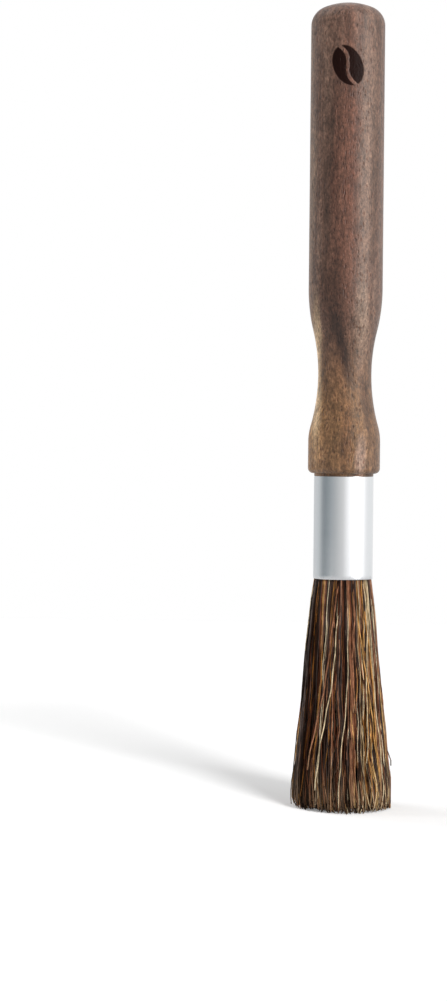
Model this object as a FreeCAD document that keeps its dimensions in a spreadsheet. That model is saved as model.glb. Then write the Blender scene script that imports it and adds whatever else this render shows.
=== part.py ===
import FreeCAD, Part
import math
import os
import random

import Sketcher

# A coffee grinder cleaning brush that stands on its bristle tips: a turned walnut handle, a short
# aluminium tube as the ferrule, and a flared tuft of natural bristle set in resin inside it.
# Lengths are in millimetres. +Z runs up the handle, and the origin is the middle of the tips.

SIZES = {
    # turned handle, from the collar upwards
    "CollarOverhang": (1.5, "how far the collar stands out past the ferrule"),
    "CollarHeight": (7.65, "collar, up to where its flare begins"),
    "CollarEdgeRadius": (1.3, "rounded lower edge of the collar"),
    "CollarFlareLength": (16.45, "from the top of the collar to the narrowest point"),
    "CollarRoundShare": (0.24, "part of that flare that curves outwards"),
    "WaistDiameter": (12.95, "narrowest point of the handle"),
    "GripFlareLength": (20.8, "from the narrowest point to the straight grip"),
    "GripRoundShare": (0.49, "part of that flare that curves outwards"),
    "GripDiameter": (18.0, "straight grip"),
    "GripLength": (64.0, "straight grip"),
    "DomeHeight": (5.5, "rounded end above the grip"),
    "DomeCornerRadius": (4.6, "tighter round between the grip and the crown of the end"),
    # neck and tenon that carry the ferrule
    "NeckHeight": (0.6, "bare neck that shows between the collar and the ferrule"),
    "NeckInset": (0.05, "how far the neck stands back from the outside of the ferrule"),
    "TenonLength": (12.0, "spigot inside the ferrule"),
    "TenonClearance": (0.05, "glue gap round the spigot"),
    "TenonChamfer": (0.6, "lead-in on the end of the spigot"),
    # ferrule
    "FerruleDiameter": (14.5, "outside of the tube"),
    "FerruleWall": (0.3, "wall of the tube"),
    "FerruleLength": (25.0, "whole tube"),
    "FerruleChamfer": (0.25, "bevelled outer edges of the tube"),
    # tuft
    "TuftLength": (55.5, "bristle that shows below the ferrule"),
    "RootDepth": (5.0, "how far the loose bristle reaches up into the ferrule"),
    "ResinClearance": (0.02, "shrinkage of the cast resin away from the tube"),
    "TuftSpread": (5.5, "how far the outer bristles lean out between the ferrule and the tips"),
    "FlareExponent": (0.88, "below 1 the tuft spreads faster near the ferrule"),
    "RingFan": (0.065, "share of the spread that each ring inwards gives up"),
    "StraySplay": (0.3, "how much further out the widest lock of the outer ring ends"),
    "StrandWidth": (0.42, "one lock of bristle, across"),
    "StrandGap": (0.1, "between locks where they leave the ferrule"),
    "RingCount": (3, "rings of separate locks round the packed middle"),
    "TipTaper": (0.45, "width of a tip as a share of its lock"),
    "TipRaggedness": (2.8, "how much shorter the shortest lock is than the longest"),
    "TipLift": (0.15, "gap between the longest outer tips and the floor"),
    # packed middle of the tuft
    "CoreRidges": (36, "locks that show round the packed middle"),
    "CoreRidgeShare": (0.05, "depth of the furrow between two of them as a share of the radius"),
    "TipFurrowPitch": (3.0, "from one row of tips to the next across the trimmed end"),
    "TipFurrowWidth": (1.1, "mouth of the furrow between two rows of tips"),
    "TipFurrowDepth": (1.4, "depth of that furrow"),
}

# what follows from the sizes, each a formula written once
WORKED = {
    "BoreRadius": "Sizes.FerruleDiameter / 2 - Sizes.FerruleWall",
    "TenonRadius": "BoreRadius - Sizes.TenonClearance",
    "NeckRadius": "Sizes.FerruleDiameter / 2 - Sizes.NeckInset",
    "CollarRadius": "Sizes.FerruleDiameter / 2 + Sizes.CollarOverhang",
    "CollarRound": "min(Sizes.CollarEdgeRadius; 0.9 * (Sizes.CollarOverhang + Sizes.NeckInset))",
    "WaistRadius": "Sizes.WaistDiameter / 2",
    "GripRadius": "Sizes.GripDiameter / 2",
    "TenonEnd": "Sizes.NeckHeight + Sizes.TenonLength",
    "CollarInflection": "Sizes.CollarHeight + Sizes.CollarRoundShare * Sizes.CollarFlareLength",
    "WaistHeight": "Sizes.CollarHeight + Sizes.CollarFlareLength",
    "GripBase": "WaistHeight + Sizes.GripFlareLength",
    "GripInflection": "GripBase - Sizes.GripRoundShare * Sizes.GripFlareLength",
    "GripTop": "GripBase + Sizes.GripLength",
    "HandleTop": "GripTop + Sizes.DomeHeight",
    "DomeCorner": "min(Sizes.DomeCornerRadius; 0.85 * Sizes.DomeHeight)",
    "RootHeight": "Sizes.TuftLength + Sizes.RootDepth",
    "ResinRadius": "BoreRadius - Sizes.ResinClearance",
    "ResinLength": "Sizes.FerruleLength - Sizes.TenonLength - Sizes.RootDepth",
    "HandleBase": "Sizes.TuftLength + Sizes.FerruleLength + Sizes.NeckHeight",
    "KneeHeight": "Sizes.TuftLength / 2",
    "KneeSpread": "Sizes.TuftSpread * 0.5 ^ Sizes.FlareExponent",
    "RootSpread": "-KneeSpread * Sizes.RootDepth / (Sizes.TuftLength - KneeHeight)",
    "StrandPitch": "Sizes.StrandWidth + Sizes.StrandGap",
    "CoreRadius": "BoreRadius - Sizes.StrandGap - Sizes.RingCount * StrandPitch",
    "CoreFan": "1 - Sizes.RingCount * Sizes.RingFan",
}

# colour of the locks and how many in a hundred have it
BRISTLE_MIX = {
    "bristles_dark": 42,
    "bristles_brown": 30,
    "bristles_golden": 18,
    "bristles_pale": 10,
}
BRISTLE_SEED = 7


def make_sheet(doc):
    """Puts the driving dimensions into a spreadsheet, one named cell each."""
    sheet = doc.addObject("Spreadsheet::Sheet", "Sizes")
    for row, (name, (value, meaning)) in enumerate(SIZES.items(), start=1):
        sheet.set(f"A{row}", name)
        sheet.set(f"B{row}", str(value))
        sheet.set(f"C{row}", meaning)
        sheet.setAlias(f"B{row}", name)
    doc.recompute()
    return sheet


def make_worked(doc):
    """Adds the dimensions that follow from the sheet, each bound to its formula."""
    worked = doc.addObject("App::VarSet", "Worked")
    for name in WORKED:
        worked.addProperty("App::PropertyFloat", name, "Worked")
    for name, formula in WORKED.items():
        worked.setExpression(name, formula)
    doc.recompute()
    return worked


def origin_feature(body, role):
    """Finds one of the body's own planes or axes."""
    return next(f for f in body.Origin.OriginFeatures if f.Role == role)


def new_body(doc, name, label, height=None):
    """Starts a body whose own zero stands at the given height of the brush."""
    body = doc.addObject("PartDesign::Body", name)
    body.Label = label
    if height:
        body.setExpression("Placement.Base.z", height)
    return body


def new_sketch(body, name, role="XZ_Plane"):
    """Adds a sketch on one of the body's own planes."""
    sketch = body.newObject("Sketcher::SketchObject", name)
    sketch.AttachmentSupport = (origin_feature(body, role), [""])
    sketch.MapMode = "FlatFace"
    return sketch


def flat(x, y):
    return FreeCAD.Vector(x, y, 0)


def add_line(sketch, start, end):
    return sketch.addGeometry(Part.LineSegment(flat(*start), flat(*end)))


def add_arc(sketch, centre, radius, first, last):
    """Adds an arc that turns anticlockwise from the first angle to the last, in radians."""
    circle = Part.Circle(flat(*centre), FreeCAD.Vector(0, 0, 1), radius)
    return sketch.addGeometry(Part.ArcOfCircle(circle, first, last))


def relate(sketch, kind, *where):
    sketch.addConstraint(Sketcher.Constraint(kind, *where))


def dimension(sketch, name, formula, kind, *where):
    """Adds a named dimension to the sketch and binds it to its formula."""
    index = sketch.addConstraint(Sketcher.Constraint(kind, *where))
    sketch.renameConstraint(index, name)
    sketch.setExpression(f"Constraints.{name}", formula)


def revolve(body, sketch, name):
    """Turns a half section round the body's own vertical axis."""
    feature = body.newObject("PartDesign::Revolution", name)
    feature.Profile = sketch
    feature.ReferenceAxis = (sketch, ["V_Axis"])
    feature.Angle = 360
    return feature


# the parts of a line or arc that a constraint can name, and the sketch's own axes
START, END, CENTRE = range(1, 4)
LEVEL_AXIS, UPRIGHT_AXIS = range(-1, -3, -1)
ORIGIN = (LEVEL_AXIS, START)


def closed_outline(sketch, corners, turned):
    """Draws a closed outline of straight lines and names the distances of its corners.

    corners holds (radius formula, radius, height formula, height) for each corner in turn; a
    height formula of None leaves the corner at the base line.
    """
    places = [(radius, height) for _, radius, _, height in corners]
    lines = [add_line(sketch, a, b) for a, b in zip(places, places[1:] + places[:1])]
    for line, following in zip(lines, lines[1:] + lines[:1]):
        relate(sketch, "Coincident", line, END, following, START)
    for number, (line, corner) in enumerate(zip(lines, corners)):
        radius_formula, radius, height_formula, height = corner
        dimension(sketch, f"{turned}Radius{number}", radius_formula,
                  "DistanceX", *ORIGIN, line, START, radius)
        if height_formula:
            dimension(sketch, f"{turned}Height{number}", height_formula,
                      "DistanceY", *ORIGIN, line, START, height)
        else:
            relate(sketch, "PointOnObject", line, START, LEVEL_AXIS)


def draw_handle_section(sketch, sheet, worked):
    """Half section of the handle, from the end of the tenon up to the dome.

    Both flares are a pair of tangent arcs, upright where they meet the grip, the narrowest point
    and the collar, so the place where one arc turns into the other lies on the chord.
    """
    tenon, neck = worked.TenonRadius, worked.NeckRadius
    collar, waist, grip = worked.CollarRadius, worked.WaistRadius, worked.GripRadius
    chamfer, edge, corner = sheet.TenonChamfer, worked.CollarRound, worked.DomeCorner
    tenon_end, seat = -worked.TenonEnd, -sheet.NeckHeight
    collar_top, waist_z = sheet.CollarHeight, worked.WaistHeight
    grip_base, grip_top = worked.GripBase, worked.GripTop

    bottom = add_line(sketch, (0, tenon_end), (tenon - chamfer, tenon_end))
    lead_in = add_line(sketch, (tenon - chamfer, tenon_end), (tenon, tenon_end + chamfer))
    spigot = add_line(sketch, (tenon, tenon_end + chamfer), (tenon, seat))
    shoulder = add_line(sketch, (tenon, seat), (neck, seat))
    neck_side = add_line(sketch, (neck, seat), (neck, 0))
    underside = add_line(sketch, (neck, 0), (collar - edge, 0))
    lower_edge = add_arc(sketch, (collar - edge, edge), edge, -math.pi / 2, 0)
    collar_side = add_line(sketch, (collar, edge), (collar, collar_top))

    low_round, low_hollow, low_turn = flare_arcs(
        sheet.CollarFlareLength, collar - waist, sheet.CollarRoundShare)
    collar_round = add_arc(sketch, (collar - low_round, collar_top), low_round, 0, low_turn)
    collar_hollow = add_arc(sketch, (waist + low_hollow, waist_z), low_hollow,
                            math.pi, math.pi + low_turn)
    high_round, high_hollow, high_turn = flare_arcs(
        sheet.GripFlareLength, grip - waist, sheet.GripRoundShare)
    grip_hollow = add_arc(sketch, (waist + high_hollow, waist_z), high_hollow,
                          math.pi - high_turn, math.pi)
    grip_round = add_arc(sketch, (grip - high_round, grip_base), high_round, -high_turn, 0)
    grip_side = add_line(sketch, (grip, grip_base), (grip, grip_top))

    crown = crown_radius(grip, sheet.DomeHeight, corner)
    crown_centre = worked.HandleTop - crown
    crown_turn = math.atan2(grip_top - crown_centre, grip - corner)
    dome_corner = add_arc(sketch, (grip - corner, grip_top), corner, 0, crown_turn)
    dome_crown = add_arc(sketch, (0, crown_centre), crown, crown_turn, math.pi / 2)
    axis = add_line(sketch, (0, worked.HandleTop), (0, tenon_end))

    for line in (bottom, shoulder, underside):
        relate(sketch, "Horizontal", line)
    for line in (spigot, neck_side, collar_side, grip_side, axis):
        relate(sketch, "Vertical", line)
    for line, following in ((bottom, lead_in), (lead_in, spigot), (spigot, shoulder),
                            (shoulder, neck_side), (neck_side, underside)):
        relate(sketch, "Coincident", line, END, following, START)
    relate(sketch, "Tangent", underside, END, lower_edge, START)
    relate(sketch, "Tangent", lower_edge, END, collar_side, START)
    relate(sketch, "Tangent", collar_side, END, collar_round, START)
    relate(sketch, "Tangent", collar_round, END, collar_hollow, END)
    relate(sketch, "Tangent", collar_hollow, START, grip_hollow, END)
    relate(sketch, "Tangent", grip_hollow, START, grip_round, START)
    relate(sketch, "Tangent", grip_round, END, grip_side, START)
    relate(sketch, "Tangent", grip_side, END, dome_corner, START)
    relate(sketch, "Tangent", dome_corner, END, dome_crown, START)
    relate(sketch, "Coincident", dome_crown, END, axis, START)
    relate(sketch, "Coincident", axis, END, bottom, START)
    relate(sketch, "PointOnObject", axis, START, UPRIGHT_AXIS)
    relate(sketch, "PointOnObject", dome_crown, CENTRE, UPRIGHT_AXIS)
    relate(sketch, "PointOnObject", underside, START, LEVEL_AXIS)
    relate(sketch, "Horizontal", collar_hollow, CENTRE, collar_hollow, START)

    def across(name, formula, line, value):
        dimension(sketch, name, formula, "DistanceX", *ORIGIN, line, START, value)

    def up(name, formula, *point_and_value):
        dimension(sketch, name, formula, "DistanceY", *ORIGIN, *point_and_value)

    across("TenonRadius", "Worked.TenonRadius", spigot, tenon)
    across("NeckRadius", "Worked.NeckRadius", neck_side, neck)
    across("CollarRadius", "Worked.CollarRadius", collar_side, collar)
    across("WaistRadius", "Worked.WaistRadius", collar_hollow, waist)
    across("GripRadius", "Worked.GripRadius", grip_side, grip)
    dimension(sketch, "ChamferAcross", "Sizes.TenonChamfer",
              "DistanceX", lead_in, START, lead_in, END, chamfer)
    dimension(sketch, "ChamferUp", "Sizes.TenonChamfer",
              "DistanceY", lead_in, START, lead_in, END, chamfer)
    dimension(sketch, "TenonEnd", "Worked.TenonEnd", "DistanceY", bottom, START, *ORIGIN, -tenon_end)
    dimension(sketch, "NeckHeight", "Sizes.NeckHeight",
              "DistanceY", neck_side, START, neck_side, END, sheet.NeckHeight)
    dimension(sketch, "CollarRound", "Worked.CollarRound", "Radius", lower_edge, edge)
    up("CollarHeight", "Sizes.CollarHeight", collar_side, END, collar_top)
    up("CollarInflection", "Worked.CollarInflection", collar_round, END, worked.CollarInflection)
    up("WaistHeight", "Worked.WaistHeight", collar_hollow, START, waist_z)
    up("GripInflection", "Worked.GripInflection", grip_round, START, worked.GripInflection)
    up("GripBase", "Worked.GripBase", grip_side, START, grip_base)
    up("GripTop", "Worked.GripTop", grip_side, END, grip_top)
    dimension(sketch, "DomeCorner", "Worked.DomeCorner", "Radius", dome_corner, corner)
    up("HandleTop", "Worked.HandleTop", dome_crown, END, worked.HandleTop)


def flare_arcs(length, step, round_share):
    """Radii of the two tangent arcs that join two upright lines, and the angle that each turns.

    length is along the axis, step across it, and round_share is the part of both that the outward
    arc takes.
    """
    both = (length * length + step * step) / (2 * step)
    turn = math.asin(length / both)
    return both * round_share, both * (1 - round_share), turn


def crown_radius(grip, height, corner):
    """Radius of the crown that is tangent to the corner arc and reaches the dome's height."""
    return ((grip - corner) ** 2 + height ** 2 - corner ** 2) / (2 * (height - corner))


def make_handle(doc, sheet, worked):
    """Handle with its collar, neck and tenon, turned in one piece."""
    body = new_body(doc, "Handle", "handle", "Worked.HandleBase")
    sketch = new_sketch(body, "HandleSection")
    draw_handle_section(sketch, sheet, worked)
    revolve(body, sketch, "TurnedHandle")
    return body


def make_ferrule(doc, sheet, worked):
    """Open aluminium tube with bevelled outer edges."""
    body = new_body(doc, "Ferrule", "ferrule", "Sizes.TuftLength")
    sketch = new_sketch(body, "FerruleSection")
    outer, length = sheet.FerruleDiameter / 2, sheet.FerruleLength
    closed_outline(sketch, (
        ("Worked.BoreRadius", worked.BoreRadius, None, 0),
        ("Sizes.FerruleDiameter / 2", outer, None, 0),
        ("Sizes.FerruleDiameter / 2", outer, "Sizes.FerruleLength", length),
        ("Worked.BoreRadius", worked.BoreRadius, "Sizes.FerruleLength", length),
    ), "Tube")
    tube = revolve(body, sketch, "Tube")
    doc.recompute()
    rims = [f"Edge{number}" for number, edge in enumerate(tube.Shape.Edges, start=1)
            if isinstance(edge.Curve, Part.Circle) and abs(edge.Curve.Radius - outer) < 1e-6]
    bevel = body.newObject("PartDesign::Chamfer", "BevelledRims")
    bevel.Base = (tube, rims)
    bevel.setExpression("Size", "min(Sizes.FerruleChamfer; 0.8 * Sizes.FerruleWall)")
    return body


def make_resin_plug(doc, worked):
    """Cast resin that fills the tube between the tenon and the roots of the bristle."""
    body = new_body(doc, "ResinPlug", "resin_plug", "Worked.RootHeight")
    sketch = new_sketch(body, "ResinCircle", "XY_Plane")
    circle = sketch.addGeometry(Part.Circle(flat(0, 0), FreeCAD.Vector(0, 0, 1), worked.ResinRadius))
    relate(sketch, "Coincident", circle, CENTRE, *ORIGIN)
    dimension(sketch, "ResinRadius", "Worked.ResinRadius", "Radius", circle, worked.ResinRadius)
    pad = body.newObject("PartDesign::Pad", "CastResin")
    pad.Profile = sketch
    pad.setExpression("Length", "Worked.ResinLength")
    return body


def lean(sheet, height):
    """How far a lock of the outer ring has leaned out when it is down at this height."""
    travelled = min(max(1 - height / sheet.TuftLength, 0), 1)
    return sheet.TuftSpread * travelled ** sheet.FlareExponent


def faceted_solid(sections):
    """Closes a stack of parallel sections, alike but for their size, into a flat-faced solid."""
    loops = [sections[0], sections[-1]]
    for below, above in zip(sections, sections[1:]):
        for i, j in zip(range(len(below)), (*range(1, len(below)), 0)):
            loops.append([below[i], below[j], above[j], above[i]])
    faces = [Part.Face(Part.makePolygon(loop + loop[:1])) for loop in loops]
    solid = Part.Solid(Part.Shell(faces))
    if solid.Volume < 0:
        solid.reverse()
    return solid


def core_section(sheet, radius, height):
    """Outline of the packed middle at one height, a ridge for each lock that shows."""
    corners = 2 * max(int(sheet.CoreRidges), 3)
    furrow = radius * (1 - sheet.CoreRidgeShare)
    section = []
    for number in range(corners):
        azimuth = 2 * math.pi * number / corners
        reach = furrow if number % 2 else radius
        section.append(FreeCAD.Vector(reach * math.cos(azimuth), reach * math.sin(azimuth), height))
    return section


def tip_furrows(sheet, reach):
    """Wedges that part the trimmed end into tips, in three directions across it."""
    half, depth, pitch = sheet.TipFurrowWidth / 2, sheet.TipFurrowDepth, sheet.TipFurrowPitch
    rows = int(reach / pitch) + 1
    wedges = []
    for turn in (0, 60, 120):
        for row in range(-rows, rows):
            middle = (row + 0.5) * pitch
            corners = [FreeCAD.Vector(-2 * reach, middle + half * side, depth * up)
                       for side, up in ((-2, -1), (2, -1), (0, 1))]
            wedge = Part.Face(Part.makePolygon(corners + corners[:1]))
            wedge = wedge.extrude(FreeCAD.Vector(4 * reach, 0, 0))
            wedge.rotate(FreeCAD.Vector(), FreeCAD.Vector(0, 0, 1), turn)
            wedges.append(wedge)
    return wedges


def add_solids(doc, label, shape):
    """Adds a piece whose shape is worked out from the sheet, with no sketch of its own."""
    feature = doc.addObject("Part::Feature", label.title().replace("_", ""))
    feature.Label = label
    feature.Shape = shape
    feature.Placement = FreeCAD.Placement()
    return feature


def make_core(doc, sheet, worked):
    """Packed middle of the tuft, flared from the roots to the tips that the brush stands on."""
    tip_radius = worked.CoreRadius + worked.CoreFan * sheet.TuftSpread
    core = faceted_solid([
        core_section(sheet, tip_radius, 0),
        core_section(sheet, worked.CoreRadius + worked.CoreFan * worked.KneeSpread,
                     worked.KneeHeight),
        core_section(sheet, worked.CoreRadius + worked.CoreFan * worked.RootSpread,
                     worked.RootHeight),
    ])
    return add_solids(doc, "bristle_core", core.cut(tip_furrows(sheet, tip_radius)))


def lock_section(azimuth, radius, sideways, height, width):
    """Four corners of a lock at one height, its sides square to the line from the axis."""
    out = FreeCAD.Vector(math.cos(azimuth), math.sin(azimuth), 0)
    along = FreeCAD.Vector(-math.sin(azimuth), math.cos(azimuth), 0)
    centre = out * radius + along * sideways + FreeCAD.Vector(0, 0, height)
    half = width / 2
    return [centre + out * (half * i) + along * (half * j)
            for i, j in ((-1, -1), (1, -1), (1, 1), (-1, 1))]


def make_lock(sheet, worked, ring, azimuth, share, chance):
    """One lock of bristle: from its root out past the ferrule's rim to its own ragged tip.

    share is the lock's part of the ring at the tips, and bounds how far it may wander sideways.
    """
    width = sheet.StrandWidth
    rim = worked.BoreRadius - sheet.StrandGap - width / 2 - ring * worked.StrandPitch
    fan = 1 - ring * sheet.RingFan
    tip_height = sheet.TipLift + sheet.TipRaggedness * chance.random() ** 2
    tip_radius = rim + fan * lean(sheet, tip_height)
    if ring == 0:
        tip_radius += sheet.StraySplay * chance.random() ** 3
    wander = 0.4 * max(share - width, 0) * chance.uniform(-1, 1)
    knee = rim + fan * worked.KneeSpread
    return faceted_solid([
        lock_section(azimuth, tip_radius, wander, tip_height, width * sheet.TipTaper),
        lock_section(azimuth, knee, wander * knee / (2 * tip_radius), worked.KneeHeight, width),
        lock_section(azimuth, rim + fan * worked.RootSpread, 0, worked.RootHeight, width),
    ])


def make_bristles(doc, sheet, worked):
    """Rings of separate locks round the packed middle, shared out among the natural colours."""
    chance = random.Random(BRISTLE_SEED)
    solids = {label: [] for label in BRISTLE_MIX}
    for ring in range(int(sheet.RingCount)):
        rim = worked.BoreRadius - sheet.StrandGap - sheet.StrandWidth - ring * worked.StrandPitch
        fan = 1 - ring * sheet.RingFan
        count = max(int(2 * math.pi * (rim + fan * worked.RootSpread) / worked.StrandPitch), 3)
        share = 2 * math.pi * (rim + fan * lean(sheet, sheet.TipRaggedness)) / count
        for number in range(count):
            azimuth = 2 * math.pi * (number + ring / 2) / count
            label = chance.choices(list(BRISTLE_MIX), list(BRISTLE_MIX.values()))[0]
            solids[label].append(make_lock(sheet, worked, ring, azimuth, share, chance))
    return [add_solids(doc, label, Part.makeCompound(locks)) for label, locks in solids.items()]


def check(doc, parts):
    """Stops if any object failed to build or any piece is empty or not a sound solid."""
    failed = [o.Label for o in doc.Objects if "Invalid" in o.State or "Error" in o.State]
    if failed:
        raise RuntimeError(f"failed to build: {failed}")
    unsound = [p.Label for p in parts if p.Shape.isNull() or not p.Shape.isValid()]
    if unsound:
        raise RuntimeError(f"not a sound solid: {unsound}")


def main():
    doc = FreeCAD.newDocument("CleaningBrush")
    sheet = make_sheet(doc)
    worked = make_worked(doc)
    parts = [
        make_handle(doc, sheet, worked),
        make_ferrule(doc, sheet, worked),
        make_resin_plug(doc, worked),
        make_core(doc, sheet, worked),
        *make_bristles(doc, sheet, worked),
    ]
    doc.recompute()
    check(doc, parts)
    os.makedirs("parts", exist_ok=True)
    for part in parts:
        part.Shape.exportStep(f"parts/{part.Label}.step")
        print(part.Label, len(part.Shape.Solids), round(part.Shape.Volume, 1))


main()
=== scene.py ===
"""Looks of an upright coffee grinder cleaning brush.

The brush is a turned walnut handle, a short aluminium ferrule and a flared tuft of natural bristle.
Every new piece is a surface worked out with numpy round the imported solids. Sizes are written in
millimetres and go into the meshes in metres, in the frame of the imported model: +Z runs up the
handle, and the origin is the middle of the tips.
"""

import logging
import math
from dataclasses import dataclass
from enum import Enum

import bpy
import numpy as np
from bpy.types import Light, Material, Node, NodeSocket, NodeTree, Object
from mathutils import Matrix


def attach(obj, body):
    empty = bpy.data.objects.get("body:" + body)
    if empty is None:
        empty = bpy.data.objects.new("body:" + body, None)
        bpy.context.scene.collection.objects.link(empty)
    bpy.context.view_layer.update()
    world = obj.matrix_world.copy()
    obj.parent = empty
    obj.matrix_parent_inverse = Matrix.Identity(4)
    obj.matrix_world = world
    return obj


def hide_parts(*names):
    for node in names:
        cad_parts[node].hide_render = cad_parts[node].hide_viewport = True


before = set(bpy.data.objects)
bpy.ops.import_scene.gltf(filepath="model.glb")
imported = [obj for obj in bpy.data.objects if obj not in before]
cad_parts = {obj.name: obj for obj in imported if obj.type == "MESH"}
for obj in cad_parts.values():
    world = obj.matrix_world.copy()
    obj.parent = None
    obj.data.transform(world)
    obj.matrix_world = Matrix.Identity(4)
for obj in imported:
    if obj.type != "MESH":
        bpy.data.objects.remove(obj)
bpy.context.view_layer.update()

LOG = logging.getLogger("brush")
METRE = 0.001  # one millimetre in metres
TOUCHING = 1e-6  # points closer than this are one point, in millimetres
NOISE_RANGE = (0.3, 0.7)  # nearly all values of a noise texture lie in it

# sockets of the Mix node when it mixes colours
MIX_FACTOR, MIX_FIRST, MIX_SECOND, MIX_RESULT = 0, 6, 7, 2


def linear(code: str) -> tuple[float, float, float, float]:
    """Turns an sRGB hex colour into the linear one that shaders take.

    Args:
        code: six hex digits, with or without a leading hash.

    Returns:
        Red, green, blue and an alpha of 1.
    """
    parts = [int(code.lstrip("#")[i : i + 2], 16) / 255 for i in (0, 2, 4)]
    return *(p / 12.92 if p <= 0.04045 else ((p + 0.055) / 1.055) ** 2.4 for p in parts), 1.0


def grey(level: float) -> tuple[float, float, float, float]:
    """Linear grey of the given level, with an alpha of 1."""
    return level, level, level, 1.0


def add(
    tree: NodeTree,
    kind: str,
    settings: dict[str, object] | None = None,
    inputs: dict[str | int, object] | None = None,
    stops: tuple[tuple[float, str], ...] = (),
) -> Node:
    """Adds one node with its settings, its values and its links.

    Args:
        tree: the node tree that gets it.
        kind: the node's type, without the leading ShaderNode.
        settings: attributes of the node itself.
        inputs: a value, a socket or a node for each input, by name or number.
        stops: place and hex colour of each stop, for a colour ramp.

    Returns:
        The new node.
    """
    node = tree.nodes.new(f"ShaderNode{kind}")
    for name, value in (settings or {}).items():
        setattr(node, name, value)
    for key, value in (inputs or {}).items():
        source = value.outputs[0] if isinstance(value, Node) else value
        if isinstance(source, NodeSocket):
            tree.links.new(source, node.inputs[key])
        else:
            node.inputs[key].default_value = source
    for number, (place, code) in enumerate(stops):
        ramp = node.color_ramp.elements
        stop = ramp[number] if number < 2 else ramp.new(place)
        stop.position, stop.color = place, linear(code)
    return node


def work_out(tree: NodeTree, operation: str, *values: object) -> Node:
    """Adds a Math node that works on the given values, sockets or nodes."""
    return add(tree, "Math", {"operation": operation}, dict(enumerate(values)))


def times(tree: NodeTree, vector: object, factor: object) -> Node:
    """Multiplies a vector or a colour by one number."""
    return add(tree, "VectorMath", {"operation": "SCALE"}, {0: vector, "Scale": factor})


def norm(tree: NodeTree, vector: Node) -> NodeSocket:
    """Works out how long a vector is."""
    return add(tree, "VectorMath", {"operation": "LENGTH"}, {0: vector}).outputs["Value"]


def millimetres(tree: NodeTree) -> Node:
    """Reads the object's own coordinates, in millimetres."""
    return times(tree, add(tree, "TexCoord").outputs["Object"], 1 / METRE)


def remap(
    tree: NodeTree,
    value: object,
    source: tuple[float, float],
    target: tuple[float, float] = (0.0, 1.0),
    smooth: bool = False,
) -> Node:
    """Maps a value from one range to another and keeps it inside.

    Args:
        tree: the node tree that gets the node.
        value: the socket or node to read.
        source: the two values that give the ends of the target.
        target: what they give.
        smooth: whether the curve between them has soft ends.

    Returns:
        The new node.
    """
    kind = "SMOOTHSTEP" if smooth else "LINEAR"
    return add(tree, "MapRange", {"interpolation_type": kind}, {
        "Value": value, "From Min": source[0], "From Max": source[1],
        "To Min": target[0], "To Max": target[1]})


def mixed(
    tree: NodeTree, factor: object, first: object, second: object, blend: str = "MIX"
) -> NodeSocket:
    """Mixes two colours by a factor, and gives the socket that holds the result."""
    node = add(tree, "Mix", {"data_type": "RGBA", "blend_type": blend}, {
        MIX_FACTOR: factor, MIX_FIRST: first, MIX_SECOND: second})
    return node.outputs[MIX_RESULT]


def new_material(name: str) -> tuple[Material, NodeTree]:
    """Starts a node material that holds nothing but its output.

    Args:
        name: the real material's name.

    Returns:
        The material and its node tree.
    """
    material = bpy.data.materials.new(name)
    material.use_nodes = True
    material.node_tree.nodes.clear()
    return material, material.node_tree


def finish_material(tree: NodeTree, shader: Node) -> None:
    """Links a shader to a new output node of its tree."""
    add(tree, "OutputMaterial", inputs={"Surface": shader.outputs[0]})


def new_piece(
    name: str, points: np.ndarray, faces: list[list[int]], material: Material
) -> Object:
    """Makes a smooth-shaded piece at the origin, with its place in its mesh.

    Args:
        name: the piece's name.
        points: one row of x, y and z for each vertex, in millimetres.
        faces: the vertex numbers of each face.
        material: what it is made of.

    Returns:
        The new object, linked into the scene.
    """
    mesh = bpy.data.meshes.new(name)
    mesh.from_pydata(points * METRE, [], faces)
    mesh.polygons.foreach_set("use_smooth", np.ones(len(mesh.polygons), bool))
    mesh.materials.append(material)
    mesh.update()
    piece = bpy.data.objects.new(name, mesh)
    bpy.context.scene.collection.objects.link(piece)
    return piece


def arc(
    centre: tuple[float, float], radius: float, first: float, last: float, count: int
) -> np.ndarray:
    """Points along an arc of a half section: centre + radius (cos a, sin a), a from first to last.

    Args:
        centre: distance from the axis, and height.
        radius: radius of the arc.
        first: angle at its start, in radians.
        last: angle at its end.
        count: how many points.

    Returns:
        One row of radius and height for each point.
    """
    turn = np.linspace(first, last, count)
    return np.column_stack(
        (centre[0] + radius * np.cos(turn), centre[1] + radius * np.sin(turn))
    )


def straight(start: tuple[float, float], end: tuple[float, float], count: int) -> np.ndarray:
    """Evenly spaced points of a half section between two points, both included."""
    return np.linspace(start, end, count)


def without_doubles(profile: np.ndarray) -> np.ndarray:
    """Drops each point of a half section that lies on the one before it."""
    step = np.linalg.norm(np.diff(profile, axis=0), axis=1)
    return profile[np.concatenate(([True], step > TOUCHING))]


def turned_points(profile: np.ndarray, sides: int) -> np.ndarray:
    """Turns a half section round the axis: x = r cos a, y = r sin a, z = h.

    Args:
        profile: rows of radius r and height h.
        sides: how many equal steps the angle a takes round.

    Returns:
        The points, ring after ring.
    """
    angle = np.arange(sides) * (2 * math.pi / sides)
    radius, height = profile[:, :1], profile[:, 1:]
    rings = np.stack(
        (radius * np.cos(angle), radius * np.sin(angle), height + 0 * angle), axis=2
    )
    return rings.reshape(-1, 3)


def ring_faces(rings: int, sides: int, first: int = 0, closed: bool = False) -> np.ndarray:
    """Faces between rings of points, each face from one ring to the next.

    Args:
        rings: how many rings.
        sides: how many points each has.
        first: number of the first ring's first point.
        closed: whether the last ring joins the first.

    Returns:
        Four vertex numbers for each face, seen from outside where the rings go up.
    """
    ring = np.arange(rings if closed else rings - 1)[:, None]
    side = np.arange(sides)[None, :]
    above, beside = (ring + 1) % rings, (side + 1) % sides
    corners = (ring * sides + side, ring * sides + beside, above * sides + beside,
               above * sides + side)
    return np.stack(corners, axis=2).reshape(-1, 4) + first


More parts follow.
